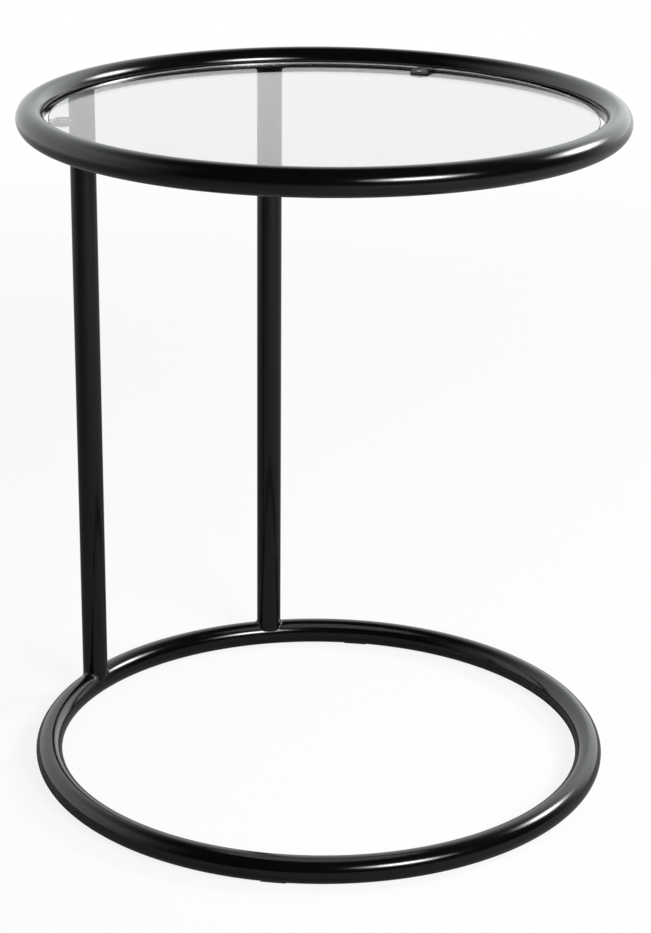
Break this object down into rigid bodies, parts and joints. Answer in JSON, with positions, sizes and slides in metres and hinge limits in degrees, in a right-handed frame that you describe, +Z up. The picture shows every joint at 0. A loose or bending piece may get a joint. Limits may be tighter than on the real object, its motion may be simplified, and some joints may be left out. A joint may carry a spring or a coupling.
{
  "type": "side table",
  "caption": "Round side table with a clear glass top set inside a black tube ring, on a C-shaped tube frame whose base slides under a seat.",
  "frame": {"origin": "on the floor, under the middle of the base ring", "axes": "+Z up from the floor to the top; +Y towards the two posts at the back; -Y towards the open front; +X to the right seen from the front"},
  "size_m": [0.4399, 0.44, 0.515],
  "materials": {
    "frame_paint": "smooth black semi-gloss powder coat",
    "lug_paint": "smooth black semi-gloss powder coat",
    "top_glass": "clear tempered glass, ground edge",
    "bumper_clear": "clear soft silicone",
    "pad_rubber": "matte black moulded pad"
  },
  "bodies": {
    "frame": {"base_ring": "frame_paint", "top_ring": "frame_paint", "post_left": "frame_paint", "post_right": "frame_paint", "weld_base_left": "frame_paint", "weld_base_right": "frame_paint", "weld_top_left": "frame_paint", "weld_top_right": "frame_paint", "support_lug_front": "lug_paint", "support_lug_back_left": "lug_paint", "support_lug_back_right": "lug_paint", "weld_lug_front": "lug_paint", "weld_lug_back_left": "lug_paint", "weld_lug_back_right": "lug_paint", "bumper_front": "bumper_clear", "bumper_back_left": "bumper_clear", "bumper_back_right": "bumper_clear", "foot_pad_1": "pad_rubber", "foot_pad_2": "pad_rubber", "foot_pad_3": "pad_rubber", "foot_pad_4": "pad_rubber"},
    "glass": {"glass_top": "top_glass"}
  },
  "joints": [
    {"name": "glass_lift", "type": "slide", "parent": "frame", "child": "glass", "axis": [0, 0, 1], "range_m": [0, 0.06]}
  ]
}
